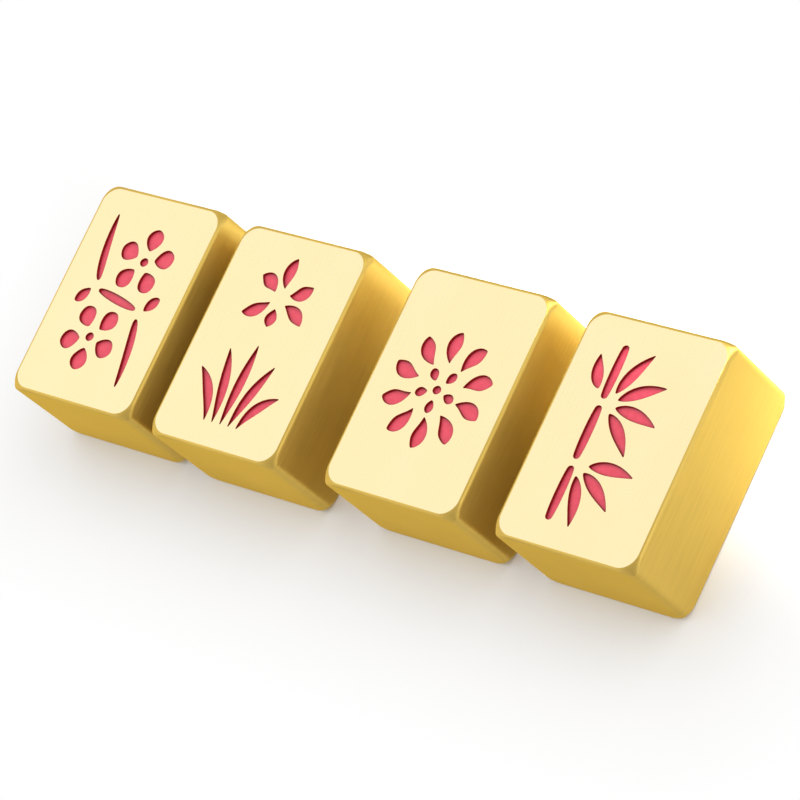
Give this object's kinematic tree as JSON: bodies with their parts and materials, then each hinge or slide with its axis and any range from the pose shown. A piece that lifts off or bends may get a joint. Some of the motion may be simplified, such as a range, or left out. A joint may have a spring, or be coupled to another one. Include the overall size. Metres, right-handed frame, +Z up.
{
  "type": "mahjong tile set",
  "caption": "Solid brass mahjong tiles in a row, each a rounded block with a flower motif engraved in its face and filled with recessed red enamel.",
  "frame": {"origin": "on the table, at the middle of the row's bounding box", "axes": "+X along the row from the first tile to the last, +Y along the tiles towards the top of their faces, +Z up out of the faces"},
  "size_m": [0.1208, 0.0362, 0.0168],
  "materials": {
    "brass": "brushed",
    "enamel": "satin"
  },
  "bodies": {
    "plum_tile": {"plum_block": "brass", "plum_branch": "enamel", "plum_lower_bud": "enamel", "plum_lower_heart": "enamel", "plum_lower_petal_1": "enamel", "plum_lower_petal_2": "enamel", "plum_lower_petal_3": "enamel", "plum_lower_petal_4": "enamel", "plum_lower_petal_5": "enamel", "plum_lower_twig": "enamel", "plum_upper_bud": "enamel", "plum_upper_heart": "enamel", "plum_upper_petal_1": "enamel", "plum_upper_petal_2": "enamel", "plum_upper_petal_3": "enamel", "plum_upper_petal_4": "enamel", "plum_upper_petal_5": "enamel", "plum_upper_twig": "enamel"},
    "orchid_tile": {"orchid_block": "brass", "orchid_leaf_1": "enamel", "orchid_leaf_2": "enamel", "orchid_leaf_3": "enamel", "orchid_leaf_4": "enamel", "orchid_leaf_5": "enamel", "orchid_lip_1": "enamel", "orchid_petal_1": "enamel", "orchid_petal_2": "enamel", "orchid_sepal_1": "enamel", "orchid_sepal_2": "enamel", "orchid_sepal_3": "enamel"},
    "chrysanthemum_tile": {"chrysanthemum_block": "brass", "chrysanthemum_heart": "enamel", "chrysanthemum_inner_petal_1": "enamel", "chrysanthemum_inner_petal_2": "enamel", "chrysanthemum_inner_petal_3": "enamel", "chrysanthemum_inner_petal_4": "enamel", "chrysanthemum_inner_petal_5": "enamel", "chrysanthemum_outer_petal_1": "enamel", "chrysanthemum_outer_petal_10": "enamel", "chrysanthemum_outer_petal_2": "enamel", "chrysanthemum_outer_petal_3": "enamel", "chrysanthemum_outer_petal_4": "enamel", "chrysanthemum_outer_petal_5": "enamel", "chrysanthemum_outer_petal_6": "enamel", "chrysanthemum_outer_petal_7": "enamel", "chrysanthemum_outer_petal_8": "enamel", "chrysanthemum_outer_petal_9": "enamel"},
    "bamboo_tile": {"bamboo_block": "brass", "bamboo_lower_leaf_1": "enamel", "bamboo_lower_leaf_2": "enamel", "bamboo_lower_leaf_3": "enamel", "bamboo_side_leaf_1": "enamel", "bamboo_stalk_1": "enamel", "bamboo_stalk_2": "enamel", "bamboo_stalk_3": "enamel", "bamboo_upper_leaf_1": "enamel", "bamboo_upper_leaf_2": "enamel", "bamboo_upper_leaf_3": "enamel", "bamboo_upper_leaf_4": "enamel"}
  },
  "joints": [
    {"name": "orchid_tile_lift", "type": "slide", "parent": "plum_tile", "child": "orchid_tile", "axis": [0, 0, 1], "range_m": [0, 0.03]},
    {"name": "chrysanthemum_tile_lift", "type": "slide", "parent": "plum_tile", "child": "chrysanthemum_tile", "axis": [0, 0, 1], "range_m": [0, 0.03]},
    {"name": "bamboo_tile_lift", "type": "slide", "parent": "plum_tile", "child": "bamboo_tile", "axis": [0, 0, 1], "range_m": [0, 0.03]}
  ]
}
